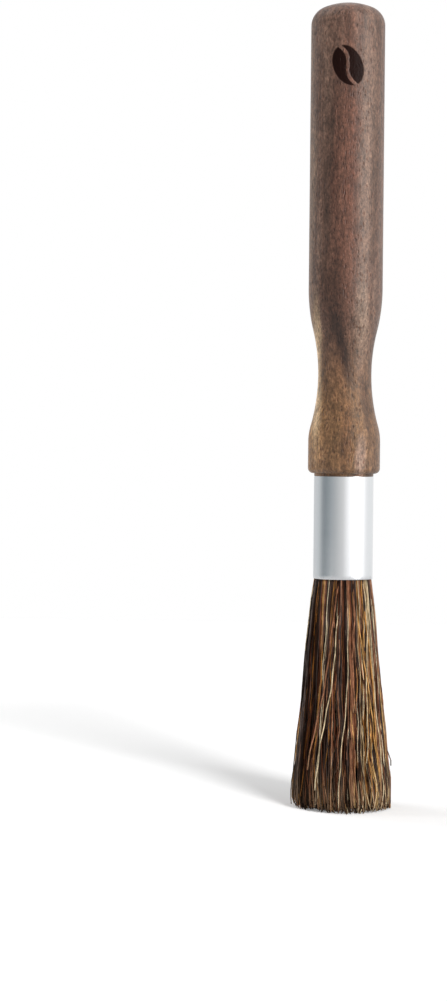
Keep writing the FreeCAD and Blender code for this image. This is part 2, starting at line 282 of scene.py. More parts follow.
@dataclass(frozen=True)
class BeanMark:
    """A coffee bean burned into the wood: an oval with an unburned crease that bends like an S."""

    height: float = 179.0
    half_width: float = 3.5
    half_length: float = 5.1
    tilt: float = math.radians(-24)
    crease: float = 0.42
    crease_swing: float = 0.8
    softness: float = 0.16

    def mask(self, tree: NodeTree, mm: Node) -> Node:
        """Burned where (u/a)^2 + (v/b)^2 < 1, apart from the crease |u - s sin(pi v / b)| < c.

        Args:
            tree: the wood's node tree.
            mm: object coordinates in millimetres.

        Returns:
            A node that gives 1 where the wood is burned and 0 elsewhere.
        """
        local = add(tree, "Mapping", {"vector_type": "TEXTURE"}, {
            "Vector": mm, "Location": (0, 0, self.height), "Rotation": (0, self.tilt, 0)})
        across, front, along = add(tree, "SeparateXYZ", inputs={0: local}).outputs
        u = work_out(tree, "DIVIDE", across, self.half_width)
        v = work_out(tree, "DIVIDE", along, self.half_length)
        radius = norm(tree, add(tree, "CombineXYZ", inputs={0: u, 1: v}))
        edge = self.softness / self.half_width
        oval = remap(tree, radius, (1 + edge, 1 - edge), smooth=True)
        sine = work_out(tree, "SINE", work_out(tree, "MULTIPLY", v, math.pi))
        bend = work_out(tree, "MULTIPLY_ADD", sine, -self.crease_swing, across)
        away = work_out(tree, "ABSOLUTE", bend)
        crease = remap(
            tree, away, (self.crease - self.softness, self.crease + self.softness), smooth=True)
        facing = work_out(tree, "LESS_THAN", front, 0.0)
        return work_out(tree, "MULTIPLY", work_out(tree, "MULTIPLY", oval, crease), facing)


@dataclass(frozen=True)
class FigureOrPaintedLight:
    """A streak of another colour: mostly wood figure, some painted sheen, rim light or shade.

    Its middle is given as distance to the right of the axis and height. Its lean is in degrees,
    with the top to the right where it is above zero. Its full strength fills the given share of
    it, from the middle outwards.
    """

    middle: tuple[float, float]
    half_width: float
    half_length: float
    lean: float
    colour: str
    strength: float
    full_share: float = 0.2

    def mask(self, tree: NodeTree, mm: Node) -> Node:
        """Falls smoothly from its strength in the middle to 0 on the ellipse round it."""
        local = add(tree, "Mapping", {"vector_type": "TEXTURE"}, {
            "Vector": mm, "Location": (self.middle[0], 0, self.middle[1]),
            "Rotation": (0, math.radians(self.lean), 0),
            "Scale": (self.half_width, 1.0, self.half_length)})
        level = add(tree, "VectorMath", {"operation": "MULTIPLY"}, {0: local, 1: (1, 0, 1)})
        return remap(
            tree, norm(tree, level), (1.0, self.full_share), (0.0, self.strength), smooth=True)


@dataclass(frozen=True)
class Grain:
    """Solid noise with its own width across the fibre and length along it, in millimetres.

    Its depth is the share by which it darkens and lightens the wood.
    """

    width: float
    length: float
    roughness: float = 0.6
    depth: float = 0.0

    def noise(self, tree: NodeTree, mm: Node) -> NodeSocket:
        """Works out the noise at the given coordinates."""
        scaled = add(tree, "Mapping", inputs={
            "Vector": mm, "Scale": (1 / self.width, 1 / self.width, 1 / self.length)})
        cloud = add(tree, "TexNoise", inputs={
            "Vector": scaled, "Scale": 1.0, "Detail": 3.0, "Roughness": self.roughness})
        return cloud.outputs["Fac"]


@dataclass(frozen=True)
class OiledWalnut:
    """Black walnut turned between centres, sanded and wiped with oil.

    Its heartwood changes from greyish tan to redder and darker streaks. Sanding across the fibre
    leaves it finely mottled, and oil darkens its pores into short dashes and gives a satin sheen.
    """

    # Real fibres, sanding marks and pores are a tenth of a millimetre or two across. A pixel of
    # the picture shows 0.24 mm, so they are drawn two or three times as coarse, to show at all.
    # A pore is its width and length, and the bend of the trunk its reach each way.
    streak: Grain = Grain(2.2, 40.0)
    fibre: Grain = Grain(0.55, 3.4, depth=0.24)
    blotch: Grain = Grain(1.3, 2.8, 0.7, depth=0.4)
    speck: Grain = Grain(0.45, 0.85, 0.7, depth=0.56)
    pore: tuple[float, float] = (0.62, 1.8)
    pore_edge: tuple[float, float] = (0.42, 0.1)
    poreless_share: float = 0.45
    ring_spacing: float = 2.6
    ring_depth: float = 0.14
    pith: tuple[float, float] = (31.0, 24.0)
    bend_per_mm: tuple[float, float, float] = (0.09, 0.09, 0.045)
    bend: tuple[float, float, float] = (3.0, 3.0, 9.0)

    ground: tuple[tuple[float, str], ...] = (
        (0.25, "#5e4538"), (0.75, "#846a5b"), (0.5, "#725648"))
    pore_tint: str = "#c8b0a6"
    char: str = "#190602"
    roughness: tuple[float, float] = (0.32, 0.46)
    gloss: float = 0.5
    char_gloss: float = 0.12
    relief: float = 0.15
    relief_strength: float = 0.6
    speck_relief: float = 1.2
    # wood figure, with painted sheen, highlight, rim light and shade among it, as marked
    figures_and_painted_light: tuple[FigureOrPaintedLight, ...] = (
        FigureOrPaintedLight((0.0, 90.0), 15.0, 32.0, 0.0, "#86633f", 0.7),
        FigureOrPaintedLight((-0.4, 150.0), 6.4, 64.0, 1.0, "#643f31", 0.8),
        FigureOrPaintedLight((-4.3, 152.0), 1.8, 32.0, 1.0, "#42342c", 0.5),
        FigureOrPaintedLight((-2.2, 122.0), 5.6, 20.0, -10.0, "#472f24", 0.75),
        FigureOrPaintedLight((-0.6, 112.0), 2.2, 13.0, -15.0, "#35231b", 0.95),
        # painted sheen: paler streaks where the right softbox's sheen lies on grip and shoulder
        FigureOrPaintedLight((4.5, 155.0), 2.3, 62.0, 0.0, "#8d7667", 0.5),
        FigureOrPaintedLight((4.2, 119.5), 2.6, 15.0, 0.0, "#a18b79", 0.4),
        # painted shade: a darker stripe between that sheen and the right rim
        FigureOrPaintedLight((6.4, 155.0), 1.3, 50.0, 0.0, "#5a463a", 0.45),
        # painted rim light: paler wood along the left edge of the grip
        FigureOrPaintedLight((-8.8, 150.0), 2.2, 62.0, 0.0, "#8a7059", 0.5),
        # tan wood on the left of waist and collar, its paleness partly painted rim light
        FigureOrPaintedLight((-8.4, 97.0), 4.8, 27.0, 0.0, "#a07443", 0.8),
        # painted rim light: a pale streak along the left edge of the waist and shoulder
        FigureOrPaintedLight((-6.9, 104.0), 1.8, 25.0, 0.0, "#e6c49a", 0.9),
        FigureOrPaintedLight((-6.2, 85.0), 2.0, 9.0, 0.0, "#a98360", 0.6),
        FigureOrPaintedLight((0.3, 90.0), 2.3, 15.0, 2.0, "#573824", 0.6),
        # painted highlight: a paler patch where the sheen lies on the collar
        FigureOrPaintedLight((3.9, 84.0), 1.9, 7.0, 0.0, "#ad8f7e", 0.75),
        FigureOrPaintedLight((4.9, 98.0), 1.4, 15.0, -5.0, "#463126", 0.7),
    )
    mark: BeanMark = BeanMark()

    def bent(self, tree: NodeTree, mm: Node) -> Node:
        """Coordinates that wander slowly, because the trunk bent and leaned as it grew."""
        slow = add(tree, "Mapping", inputs={"Vector": mm, "Scale": self.bend_per_mm})
        drift = add(tree, "TexNoise", inputs={"Vector": slow, "Scale": 1.0, "Detail": 3.0})
        middle = add(tree, "VectorMath", {"operation": "SUBTRACT"}, {
            0: drift.outputs["Color"], 1: (0.5, 0.5, 0.5)})
        bend = add(tree, "VectorMath", {"operation": "MULTIPLY"}, {0: middle, 1: self.bend})
        return add(tree, "VectorMath", {"operation": "ADD"}, {0: mm, 1: bend})

    def rings(self, tree: NodeTree, trunk: Node) -> NodeSocket:
        """Growth rings: noise of the distance from the pith."""
        centred = add(tree, "Mapping", inputs={
            "Vector": trunk, "Location": (*self.pith, 0.0), "Scale": (1.0, 1.0, 0.0)})
        ring = work_out(tree, "DIVIDE", norm(tree, centred), self.ring_spacing)
        growth = add(tree, "TexNoise", {"noise_dimensions": "1D"}, {
            "W": ring, "Scale": 1.0, "Detail": 3.0, "Roughness": 0.6})
        return growth.outputs["Fac"]

    def pores(self, tree: NodeTree, trunk: Node) -> Node:
        """Short dashes: the middles of cells, of which only some hold a pore."""
        across, along = self.pore
        scaled = add(tree, "Mapping", inputs={
            "Vector": trunk, "Scale": (1 / across, 1 / across, 1 / along)})
        cell = add(tree, "TexVoronoi", inputs={"Vector": scaled, "Scale": 1.0})
        dash = remap(tree, cell.outputs["Distance"], self.pore_edge, smooth=True)
        chance = add(tree, "SeparateXYZ", inputs={0: cell.outputs["Color"]})
        held = work_out(tree, "GREATER_THAN", chance, self.poreless_share)
        return work_out(tree, "MULTIPLY", dash, held)

    def material(self) -> Material:
        """Builds the wood from one solid pattern, so that every cut through it agrees."""
        wood, tree = new_material("oiled_walnut")
        mm = millimetres(tree)
        trunk = self.bent(tree, mm)
        fibre, speck = self.fibre.noise(tree, mm), self.speck.noise(tree, mm)
        streak = self.streak.noise(tree, trunk)
        colour = add(tree, "ValToRGB", inputs={"Fac": streak}, stops=self.ground).outputs[0]
        # lays each streak over the ground, painted sheen, highlight, rim light and shade among them
        for figure_or_light in self.figures_and_painted_light:
            colour = mixed(tree, figure_or_light.mask(tree, trunk), colour, linear(figure_or_light.colour))

        # each pattern in turn darkens or lightens the ground a little
        for pattern, depth in (
            (self.rings(tree, trunk), self.ring_depth),
            (fibre, self.fibre.depth),
            (self.blotch.noise(tree, trunk), self.blotch.depth),
            (speck, self.speck.depth),
        ):
            colour = times(tree, colour, remap(tree, pattern, NOISE_RANGE, (1 - depth, 1 + depth)))
        pore, burned = self.pores(tree, trunk), self.mark.mask(tree, mm)
        colour = mixed(tree, pore, colour, linear(self.pore_tint), "MULTIPLY")
        colour = mixed(tree, burned, colour, linear(self.char))

        relief = work_out(tree, "MULTIPLY_ADD", speck, self.speck_relief, fibre)
        for hollow in (pore, burned):
            relief = work_out(tree, "SUBTRACT", relief, hollow)
        bump = add(tree, "Bump", inputs={
            "Height": relief, "Strength": self.relief_strength,
            "Distance": self.relief * METRE})
        satin = remap(tree, fibre, NOISE_RANGE, self.roughness)
        gloss = remap(tree, burned, (0.0, 1.0), (self.gloss, self.char_gloss))
        shader = add(tree, "BsdfPrincipled", inputs={
            "Base Color": colour, "Roughness": satin, "Normal": bump, "IOR": 1.5,
            "Specular IOR Level": gloss})
        finish_material(tree, shader)
        return wood


@dataclass(frozen=True)
class TurnedAluminium:
    """Aluminium tube, faced at both ends and polished on a mop while it turned.

    The mop leaves it nearly a mirror, with the faintest rings round it that soften its edges.
    """

    # Real mop rings are hundredths of a millimetre apart, too fine for the picture, so they are
    # drawn a pixel and a half apart. Along each ring the polish changes over some centimetres:
    # the two changes are per millimetre.
    ring_pitch: float = 0.35
    ring_change: float = 0.04
    ring_haze: float = 0.07
    ring_relief: float = 0.01
    ring_strength: float = 0.05
    smear_change: float = 0.11
    smear_haze: float = 0.06
    roughness: float = 0.1
    tint: str = "#e9eaec"

    def material(self) -> Material:
        """Builds the metal, its polish broken by fine rings and by a slow smear."""
        metal, tree = new_material("polished_aluminium")
        mm = millimetres(tree)
        scale = add(tree, "Mapping", inputs={
            "Vector": mm, "Scale": (self.ring_change, self.ring_change, 1 / self.ring_pitch)})
        rings = add(tree, "TexNoise", inputs={"Vector": scale, "Scale": 1.0, "Detail": 3.0})
        smear = add(tree, "TexNoise", inputs={
            "Vector": mm, "Scale": self.smear_change, "Detail": 2.0})
        rough = work_out(
            tree, "MULTIPLY_ADD", rings.outputs["Fac"], self.ring_haze, self.roughness)
        rough = work_out(tree, "MULTIPLY_ADD", smear.outputs["Fac"], self.smear_haze, rough)
        bump = add(tree, "Bump", inputs={
            "Height": rings.outputs["Fac"], "Strength": self.ring_strength,
            "Distance": self.ring_relief * METRE})
        shader = add(tree, "BsdfPrincipled", inputs={
            "Base Color": linear(self.tint), "Metallic": 1.0, "Roughness": rough,
            "Normal": bump})
        finish_material(tree, shader)
        return metal


@dataclass(frozen=True)
class CastResin:
    """Amber epoxy, poured round the roots of the bristle: glossy, clouded and full of fibre."""

    roughness: float = 0.22
    clouds_per_metre: float = 700.0
    tints: tuple[tuple[float, str], ...] = ((0.3, "#6b4a22"), (0.7, "#a87838"))

    def material(self) -> Material:
        """Builds the resin with its clouding."""
        resin, tree = new_material("amber_epoxy")
        place = add(tree, "TexCoord").outputs["Object"]
        cloud = add(tree, "TexNoise", inputs={
            "Vector": place, "Scale": self.clouds_per_metre, "Detail": 3.0})
        colour = add(tree, "ValToRGB", inputs={"Fac": cloud.outputs["Fac"]}, stops=self.tints)
        shader = add(tree, "BsdfPrincipled", inputs={
            "Base Color": colour, "Roughness": self.roughness, "IOR": 1.55})
        finish_material(tree, shader)
        return resin


class Shade(Enum):
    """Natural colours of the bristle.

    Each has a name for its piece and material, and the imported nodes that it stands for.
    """

    DARK = ("bristle_dark", ("bristle_core", "bristles_dark"))
    BROWN = ("bristle_brown", ("bristles_brown",))
    GOLDEN = ("bristle_golden", ("bristles_golden",))
    PALE = ("bristle_pale", ("bristles_pale",))

    @property
    def slot(self) -> str:
        """Name that its piece and material are built from."""
        return self.value[0]

    @property
    def nodes(self) -> tuple[str, ...]:
        """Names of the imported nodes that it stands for."""
        return self.value[1]


@dataclass(frozen=True)
class NaturalBristle:
    """Boiled and dressed animal bristle, undyed: horny, satin, darker at the root than at the tip.

    No two strands have quite the same colour, each has lighter and darker patches along it, and
    the split ends look dusty.
    """

    shade: Shade
    deep: str
    body: str
    light: str
    tip: str
    roughness: float = 0.4
    dry_roughness: float = 0.3
    gloss: float = 0.1
    patches: float = 14.0
    patch_seeds: float = 91.0
    patch_gain: tuple[float, float] = (0.35, 1.7)
    dusty_from: float = 0.8
    dust: float = 0.6

    def material(self) -> Material:
        """Builds one natural colour, read from each strand's own tone and length."""
        bristle, tree = new_material(f"natural_{self.shade.slot}")
        tone = add(tree, "Attribute", {"attribute_name": "tone"}).outputs["Fac"]
        along = add(tree, "Attribute", {"attribute_name": "along"}).outputs["Fac"]
        base = add(tree, "ValToRGB", inputs={"Fac": tone}, stops=(
            (0.0, self.deep), (1.0, self.light), (0.5, self.body)))
        seed = work_out(tree, "MULTIPLY", tone, self.patch_seeds)
        run = add(tree, "CombineXYZ", inputs={0: along, 1: seed})
        patch = add(tree, "TexNoise", {"noise_dimensions": "2D"}, {
            "Vector": run, "Scale": self.patches, "Detail": 4.0, "Roughness": 0.65})
        gain = remap(tree, patch.outputs["Fac"], NOISE_RANGE, self.patch_gain)
        level = add(tree, "CombineXYZ", inputs={0: gain, 1: gain, 2: gain})
        varied = mixed(tree, 1.0, base, level, "MULTIPLY")
        end = remap(tree, along, (self.dusty_from, 1.0), (0.0, self.dust), smooth=True)
        dusty = work_out(tree, "MULTIPLY", end, tone)
        rough = work_out(tree, "MULTIPLY_ADD", end, self.dry_roughness, self.roughness)
        shader = add(tree, "BsdfPrincipled", inputs={
            "Base Color": mixed(tree, dusty, varied, linear(self.tip)), "Roughness": rough,
            "IOR": 1.54, "Specular IOR Level": self.gloss})
        finish_material(tree, shader)
        return bristle


@dataclass
class Handle:
    """Turned walnut handle, with the neck and the spigot that carry the ferrule."""

    spigot_end: float = 68.5
    spigot_radius: float = 6.9
    spigot_chamfer: float = 0.6
    ferrule_top: float = 80.5
    neck_radius: float = 7.2
    collar_base: float = 81.1
    collar_radius: float = 8.75
    collar_edge: float = 1.3
    collar_top: float = 88.75
    collar_round_share: float = 0.24
    waist_radius: float = 6.475
    waist_height: float = 105.2
    grip_base: float = 126.0
    grip_round_share: float = 0.49
    grip_radius: float = 9.0
    grip_top: float = 190.0
    dome_height: float = 5.5
    dome_corner: float = 4.6
    sides: int = 160
    sharp_angle: float = math.radians(35)

    @staticmethod
    def flare(length: float, step: float, round_share: float) -> tuple[float, float, float]:
        """Radii of the two tangent arcs of a flare, and the angle that each turns."""
        both = (length * length + step * step) / (2 * step)
        return both * round_share, both * (1 - round_share), math.asin(length / both)

    def profile(self) -> np.ndarray:
        """Half section from the end of the spigot up to the top of the dome.

        Each flare is two tangent arcs, and the dome is a crown that is tangent to its corner.

        Returns:
            Rows of radius and height.
        """
        spigot, neck, collar = self.spigot_radius, self.neck_radius, self.collar_radius
        waist, grip, edge = self.waist_radius, self.grip_radius, self.collar_edge
        chamfer, end = self.spigot_chamfer, self.spigot_end
        low_round, low_hollow, low_turn = self.flare(
            self.waist_height - self.collar_top, collar - waist, self.collar_round_share)
        high_round, high_hollow, high_turn = self.flare(
            self.grip_base - self.waist_height, grip - waist, self.grip_round_share)
        corner, height = self.dome_corner, self.dome_height
        crown = ((grip - corner) ** 2 + height**2 - corner**2) / (2 * (height - corner))
        crown_centre = self.grip_top + height - crown
        crown_turn = math.atan2(self.grip_top - crown_centre, grip - corner)
        return without_doubles(np.vstack((
            straight((0.0, end), (spigot - chamfer, end), 2),
            straight((spigot, end + chamfer), (spigot, self.ferrule_top), 6),
            straight((neck, self.ferrule_top), (neck, self.collar_base), 3),
            arc((collar - edge, self.collar_base + edge), edge, -math.pi / 2, 0.0, 14),
            straight((collar, self.collar_base + edge), (collar, self.collar_top), 12),
            arc((collar - low_round, self.collar_top), low_round, 0.0, low_turn, 12),
            arc((waist + low_hollow, self.waist_height), low_hollow,
                math.pi + low_turn, math.pi, 22),
            arc((waist + high_hollow, self.waist_height), high_hollow,
                math.pi, math.pi - high_turn, 22),
            arc((grip - high_round, self.grip_base), high_round, -high_turn, 0.0, 22),
            straight((grip, self.grip_base), (grip, self.grip_top), 60),
            arc((grip - corner, self.grip_top), corner, 0.0, crown_turn, 18),
            arc((0.0, crown_centre), crown, crown_turn, math.pi / 2, 14),
        )))

    def build(self, wood: Material) -> Object:
        """Turns the section round the axis and closes it with one point at each end."""
        profile = self.profile()
        rings = profile[1:-1]
        points = np.vstack((
            (0.0, 0.0, profile[0, 1]),
            turned_points(rings, self.sides),
            (0.0, 0.0, profile[-1, 1]),
        ))
        side = np.arange(self.sides)
        beside = (side + 1) % self.sides
        last = len(points) - 1
        top = 1 + (len(rings) - 1) * self.sides
        faces = ring_faces(len(rings), self.sides, first=1).tolist()
        faces += np.column_stack((0 * side, 1 + beside, 1 + side)).tolist()
        faces += np.column_stack((top + side, top + beside, 0 * side + last)).tolist()
        piece = new_piece("turned_handle", points, faces, wood)
        piece.data.set_sharp_from_angle(angle=self.sharp_angle)
        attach(piece, "root")
        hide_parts("handle")
        return piece


@dataclass
class Ferrule:
    """Short aluminium tube with rounded rims, open at both ends."""

    base: float = 55.5
    length: float = 25.0
    radius: float = 7.25
    wall: float = 0.3
    rim_round: float = 0.2
    bore_round: float = 0.06
    sides: int = 192

    def profile(self) -> np.ndarray:
        """Closed half section of the wall: up outside, over the top, down the bore and back."""
        out, bore = self.radius, self.radius - self.wall
        soft, sharp, top = self.rim_round, self.bore_round, self.base + self.length
        return without_doubles(np.vstack((
            straight((out, self.base + soft), (out, top - soft), 26),
            arc((out - soft, top - soft), soft, 0.0, math.pi / 2, 9),
            arc((bore + sharp, top - sharp), sharp, math.pi / 2, math.pi, 5),
            straight((bore, top - sharp), (bore, self.base + sharp), 26),
            arc((bore + sharp, self.base + sharp), sharp, math.pi, 1.5 * math.pi, 5),
            arc((out - soft, self.base + soft), soft, -math.pi / 2, 0.0, 9)[:-1],
        )))

    def build(self, metal: Material) -> Object:
        """Turns the closed section round the axis."""
        profile = self.profile()
        points = turned_points(profile, self.sides)
        faces = ring_faces(len(profile), self.sides, closed=True).tolist()
        piece = new_piece("ferrule_tube", points, faces, metal)
        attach(piece, "root")
        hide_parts("ferrule")
        return piece


@dataclass(frozen=True)
class GuardHair:
    """One long strand on the face of the tuft, from one azimuth to another, in degrees.

    Azimuths start at the front and grow to the right. Start and tip are heights.
    """

    start_azimuth: float
    tip_azimuth: float
    start: float
    tip: float
    shade: Shade
    half_width: float = 0.18


class Bundle(Enum):
    """What drifts together in the tuft: a thick lock, a small clump or one strand."""

    LOCK = "lock"
    CLUMP = "clump"
    STRAND = "strand"


@dataclass
class Tuft:
    """Flared tuft of separate strands, rooted in the resin and standing on their tips."""

    # A real hair is 0.1 to 0.2 mm thick, and a pixel of the picture shows 0.24 mm, so one strand
    # stands for a few hairs and is as thick as it needs to show. Widths are half widths.
    strands: int = 2700
    clumps: int = 520
    locks: int = 120
    thin: float = 0.11
    thick: float = 0.22
    tip_share: float = 0.8
    rows: int = 22
    sides: int = 3
    seed: int = 31

    # outline of the tuft
    root_height: float = 60.5
    mouth: float = 55.5
    root_radius: float = 6.62
    root_jitter: float = 0.06
    mouth_swell: float = 0.28
    swell_length: float = 2.5
    spread: float = 5.75
    exponent: float = 0.88
    tip_tuck: float = 0.9
    tuck_height: float = 3.0
    lean: float = 0.4
    tip_lean: float = 0.4
    widest: float = 12.35
    nearest_axis: float = 0.05

    # how far the tips end above the floor
    floor_gap: float = 0.03
    strand_ragged: float = 1.8
    lock_ragged: float = 1.4
    broken_share: float = 0.1
    broken_off: tuple[float, float] = (1.0, 10.0)

    # how strands gather, drift apart and stand out: a drift is its bundle, number of waves and
    # width, and a bend is its width and the power of the way to the tip that it grows with
    pulls: tuple[tuple[Bundle, float], ...] = ((Bundle.CLUMP, 0.85), (Bundle.LOCK, 0.4))
    inward_pull: float = 0.25
    drifts: tuple[tuple[Bundle, float, float], ...] = (
        (Bundle.LOCK, 1.1, 0.42), (Bundle.LOCK, 2.9, 0.18), (Bundle.CLUMP, 2.1, 0.22),
        (Bundle.CLUMP, 4.3, 0.13), (Bundle.STRAND, 1.6, 0.24), (Bundle.STRAND, 4.6, 0.13),
        (Bundle.STRAND, 6.8, 0.06))
    tip_bends: tuple[tuple[float, int], ...] = ((0.4, 6), (0.6, 24))
    stray_share: float = 0.18
    stray: float = 1.4
    lock_depth: float = 0.9
    clump_depth: float = 1.0
    dive: float = 0.32
    dive_waves: tuple[float, float] = (0.8, 3.2)
    proud: float = 0.12
    give: float = 0.2
    flick_share: float = 0.1
    flick: tuple[float, float] = (0.1, 0.9)

    # colours and lightness of strands, with painted shade inside and painted light by side
    mix: tuple[tuple[Shade, float], ...] = (
        (Shade.DARK, 0.44), (Shade.BROWN, 0.33), (Shade.GOLDEN, 0.13), (Shade.PALE, 0.1))
    common_share: float = 0.62
    gold_and_painted_light_to_right: float = 0.1
    clump_light: tuple[float, float] = (0.3, 2.5)
    painted_inner_shade: float = 0.35
    middle_light: float = 1.12
    painted_light_to_left: float = 0.02
    tone: tuple[float, float] = (0.15, 1.0)
    guard_tone: tuple[float, float] = (0.6, 0.9)

    # long strands on its face; each wave is degrees, number of waves and way of turning
    guard_waves: tuple[tuple[float, float, int], ...] = ((1.5, 1.4, 1), (0.6, 4.7, -1))
    guard_sunk: float = 0.25
    guard_rise: float = 0.38
    guard_margin: float = 0.3
    guards: tuple[GuardHair, ...] = (
        GuardHair(-6.7, -31.6, 47.0, 5.4, Shade.PALE, 0.2),
        GuardHair(12.6, -2.4, 54.5, 1.5, Shade.PALE, 0.16),
        GuardHair(20.8, 15.0, 54.5, 24.0, Shade.BROWN, 0.26),
        GuardHair(47.0, 31.0, 54.5, 12.0, Shade.PALE, 0.17),
        GuardHair(45.0, 52.0, 48.0, 5.0, Shade.GOLDEN, 0.28),
        GuardHair(29.0, 54.0, 48.0, 5.0, Shade.GOLDEN, 0.2),
        GuardHair(-9.0, -42.0, 54.0, 10.0, Shade.BROWN, 0.24),
        GuardHair(-80.0, -78.0, 54.5, 38.0, Shade.PALE, 0.16),
    )

    def __post_init__(self) -> None:
        """Starts the seeded randomness that every strand draws from."""
        self.chance = np.random.default_rng(self.seed)

    @staticmethod
    def sunflower(count: int, radius: float) -> np.ndarray:
        """Spreads points evenly over a disc: r = R sqrt((i + 1/2) / n), turned by the golden angle.

        Args:
            count: how many points.
            radius: radius R of the disc.

        Returns:
            Rows of x and y.
        """
        number = np.arange(count)
        reach = radius * np.sqrt((number + 0.5) / count)
        turn = number * math.pi * (3 - math.sqrt(5))
        return np.column_stack((reach * np.cos(turn), reach * np.sin(turn)))

    @staticmethod
    def nearest(roots: np.ndarray, centres: np.ndarray) -> np.ndarray:
        """Number of the centre that lies nearest to each root."""
        gap = roots[:, None, :] - centres[None, :, :]
        return np.argmin((gap**2).sum(2), axis=1)

    def radii(self, line: np.ndarray) -> np.ndarray:
        """Distance of each point from the axis, never so small that it can't be divided by."""
        return np.maximum(np.linalg.norm(line, axis=2), self.nearest_axis)

    def opened(self, height: np.ndarray) -> np.ndarray:
        """Share of the flare that is reached at a height: (1 - h / H) to the flare's exponent."""
        return np.clip(1 - height / self.mouth, 0, 1) ** self.exponent

    def outline(self, height: np.ndarray) -> np.ndarray:
        """Radius of the tuft at a height, swollen to the tube's width below its mouth.

        Close to the floor the tips turn in a little again.
        """
        swell = self.mouth_swell * np.clip((self.mouth - height) / self.swell_length, 0, 1)
        tuck = self.tip_tuck * np.clip(1 - height / self.tuck_height, 0, 1) ** 2
        return self.root_radius + swell + self.spread * self.opened(height) - tuck

    def sway(self, group: np.ndarray, waves: float, size: float, run: np.ndarray) -> np.ndarray:
        """Sideways drift s (sin(2 pi w t + p) - sin p) t^0.7, which all strands of a group share.

        Args:
            group: number of each strand's group.
            waves: how many waves w there are from root to tip.
            size: how widely the sizes s are spread.
            run: share t of the way from root to tip, by row.

        Returns:
            Drift in x and y by strand and row.
        """
        groups = int(group.max()) + 1
        phase = self.chance.uniform(0, 2 * math.pi, (groups, 1, 2))[group]
        reach = self.chance.normal(0, size, (groups, 1, 2))[group]
        turn = 2 * math.pi * waves * run[:, :, None]
        return reach * (np.sin(turn + phase) - np.sin(phase)) * run[:, :, None] ** 0.7

    def tips(self, lock: np.ndarray) -> np.ndarray:
        """Height of each tip: most near the floor, ragged by lock and strand, a few broken off."""
        chance, count = self.chance, self.strands
        tip = self.floor_gap + self.strand_ragged * chance.random(count) ** 3
        tip += (self.lock_ragged * chance.random(self.locks) ** 4)[lock]
        broken = chance.random(count) < self.broken_share
        return tip + np.where(broken, chance.uniform(*self.broken_off, count), 0)

    def limits(
        self, height: np.ndarray, run: np.ndarray, lock: np.ndarray, clump: np.ndarray
    ) -> np.ndarray:
        """How far from the axis each strand may lie.

        That is the outline, less the depth of the strand's lock and clump and its own slow dive
        d (1 + sin(2 pi w t + p)), which set in below the mouth.

        Args:
            height: heights by strand and row.
            run: share t of the way from root to tip, by row.
            lock: number of each strand's lock.
            clump: number of its clump.

        Returns:
            Radii by strand and row.
        """
        chance, count = self.chance, self.strands
        depth = (self.lock_depth * chance.random(self.locks) ** 2.5)[lock]
        depth += (self.clump_depth * chance.random(self.clumps) ** 1.5)[clump]
        turn = 2 * math.pi * chance.uniform(*self.dive_waves, count)[:, None] * run
        dive = chance.uniform(0, self.dive, count)[:, None] * (
            1 + np.sin(turn + chance.uniform(0, 2 * math.pi, count)[:, None]))
        sunk = (depth[:, None] + dive) * np.clip(1.6 * run, 0, 1)
        return self.outline(height) + self.proud - sunk

    def paths(self) -> tuple[np.ndarray, np.ndarray, np.ndarray, np.ndarray]:
        """Middle line of every strand.

        A strand keeps its place in the section while the section widens. Towards the tip it is
        drawn to the middle of its clump and of its lock, sideways more than inwards, and it drifts
        by slow waves, partly together with them. Some locks lie deeper than their neighbours.

        Returns:
            Points by strand and row, roots, the clump of each strand, and the rows' shares of the
            way from root to tip.
        """
        chance, count = self.chance, self.strands
        roots = self.sunflower(count, self.root_radius)
        roots += chance.normal(0, self.root_jitter, roots.shape)
        reach = np.linalg.norm(roots, axis=1)
        roots *= np.minimum(1, self.root_radius / reach)[:, None]
        centres = {Bundle.CLUMP: self.sunflower(self.clumps, self.root_radius),
                   Bundle.LOCK: self.sunflower(self.locks, self.root_radius)}
        group = {bundle: self.nearest(roots, centre) for bundle, centre in centres.items()}
        group[Bundle.STRAND] = np.arange(count)
        lock, clump = group[Bundle.LOCK], group[Bundle.CLUMP]

        run = 1 - (1 - np.linspace(0, 1, self.rows)[None, :]) ** 1.2
        height = self.root_height + (self.tips(lock)[:, None] - self.root_height) * run
        widened = (self.outline(height) / self.root_radius)[:, :, None]
        line = roots[:, None, :] * widened
        planned = np.linalg.norm(line, axis=2)
        for bundle, pull in self.pulls:
            strength = pull * chance.uniform(0.3, 1, count)[:, None] * run**1.4
            away = centres[bundle][group[bundle]] - roots
            line += strength[:, :, None] * widened * away[:, None, :]
        kept = self.inward_pull + (1 - self.inward_pull) * planned / self.radii(line)
        line *= kept[:, :, None]

        for bundle, waves, size in self.drifts:
            line += self.sway(group[bundle], waves, size, run)
        for size, power in self.tip_bends:
            line += chance.normal(0, size, (count, 1, 2)) * run[:, :, None] ** power
        strays = chance.random(count) < self.stray_share
        stray = np.where(strays, chance.normal(0, self.stray, count), 0)
        out = roots / np.linalg.norm(roots, axis=1)[:, None]
        sideways = np.column_stack((-out[:, 1], out[:, 0]))
        line += (stray[:, None] * run**1.4)[:, :, None] * sideways[:, None, :]

        limit = self.limits(height, run, lock, clump)
        flicked = chance.random(count) < self.flick_share
        flick = np.where(flicked, chance.uniform(*self.flick, count), 0)
        radius = self.radii(line)
        pressed = np.minimum(radius, limit + self.give * np.maximum(radius - limit, 0))
        line *= ((pressed + flick[:, None] * run**6) / radius)[:, :, None]
        line[:, :, 0] += self.lean * run**3 + self.tip_lean * run**12
        line *= np.minimum(1, (self.widest - self.thick) / self.radii(line))[:, :, None]
        return np.concatenate((line, height[:, :, None]), axis=2), roots, clump, run[0]

